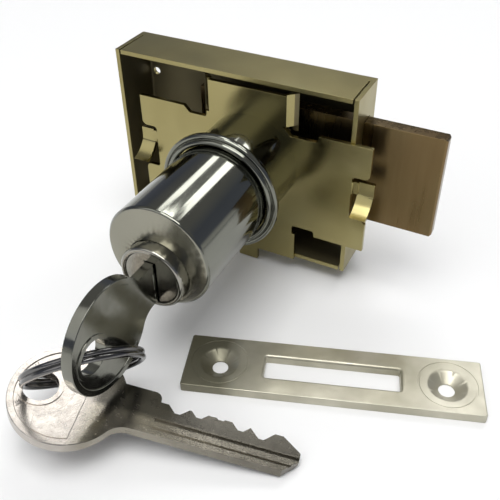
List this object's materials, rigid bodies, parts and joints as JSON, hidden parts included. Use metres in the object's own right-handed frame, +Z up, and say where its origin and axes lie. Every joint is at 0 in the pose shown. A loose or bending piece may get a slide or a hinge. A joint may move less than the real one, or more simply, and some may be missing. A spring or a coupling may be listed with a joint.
{
  "type": "cupboard rim lock",
  "caption": "Surface fixed cupboard lock: sheet metal case with a sliding bolt, a cross plate with a round key barrel and loose collar, keys on a wire ring and a flat strike plate.",
  "frame": {"origin": "on the axis of the barrel, in the plane of the cross plate's front face, which lies against the inside of the door", "axes": "+X is the way the bolt is thrown, +Y goes from the door into the case, +Z is up"},
  "size_m": [0.0973, 0.0849, 0.0476],
  "materials": {
    "plated_brass": "brass plated sheet",
    "chrome": "polished chrome plate",
    "cast_zinc": "raw casting",
    "brass": "turned brass",
    "steel": "turned steel",
    "nickel": "nickel plate",
    "spring_steel": "spring steel",
    "bronze": "drawn bronze coloured brass",
    "key_nickel": "nickel plated key blank",
    "ring_wire": "bright wire",
    "strike_nickel": "nickel plated steel"
  },
  "bodies": {
    "lock": {"case": "plated_brass", "cross_plate": "plated_brass", "barrel_sleeve": "chrome", "barrel_core": "cast_zinc", "chamber_cover": "brass", "barrel_screws": "steel", "driver_pins": "brass", "pin_springs": "spring_steel", "guide_studs": "steel", "strike_plate": "strike_nickel"},
    "plug_and_crank": {"plug": "nickel", "key_pins": "brass", "crank": "steel", "crank_pin": "steel", "plug_clip": "spring_steel"},
    "bolt": {"bolt": "bronze"},
    "key": {"key_in_lock": "key_nickel"},
    "ring": {"key_ring": "ring_wire"},
    "second_key": {"spare_key": "key_nickel"},
    "collar": {"collar": "chrome"}
  },
  "joints": [
    {"name": "key_turn", "type": "hinge", "parent": "lock", "child": "plug_and_crank", "pos_m": [0, 0, -0.003], "axis": [0, -1, 0], "range_deg": [0, 180]},
    {"name": "bolt_slide", "type": "slide", "parent": "lock", "child": "bolt", "axis": [-1, 0, 0], "range_m": [0, 0.01745]},
    {"name": "key_draw", "type": "slide", "parent": "plug_and_crank", "child": "key", "axis": [0, -1, 0], "range_m": [0, 0.0298], "deforming": ["key_pins", "driver_pins", "pin_springs"]},
    {"name": "ring_swing", "type": "hinge", "parent": "key", "child": "ring", "pos_m": [0, -0.0604, -0.0049], "axis": [-1, 0, 0], "range_deg": [0, 75]},
    {"name": "second_key_slide", "type": "hinge", "parent": "ring", "child": "second_key", "pos_m": [-0.00509, -0.05731, -0.0138], "axis": [0.5777, -0.5879, -0.5663], "range_deg": [0, 30]},
    {"name": "collar_slide", "type": "slide", "parent": "lock", "child": "collar", "axis": [0, 1, 0], "range_m": [-0.02, 0.0135]}
  ],
  "couplings": [
    {"joint": "bolt_slide", "follows": "key_turn", "m_per_rad": 0.0055386}
  ]
}
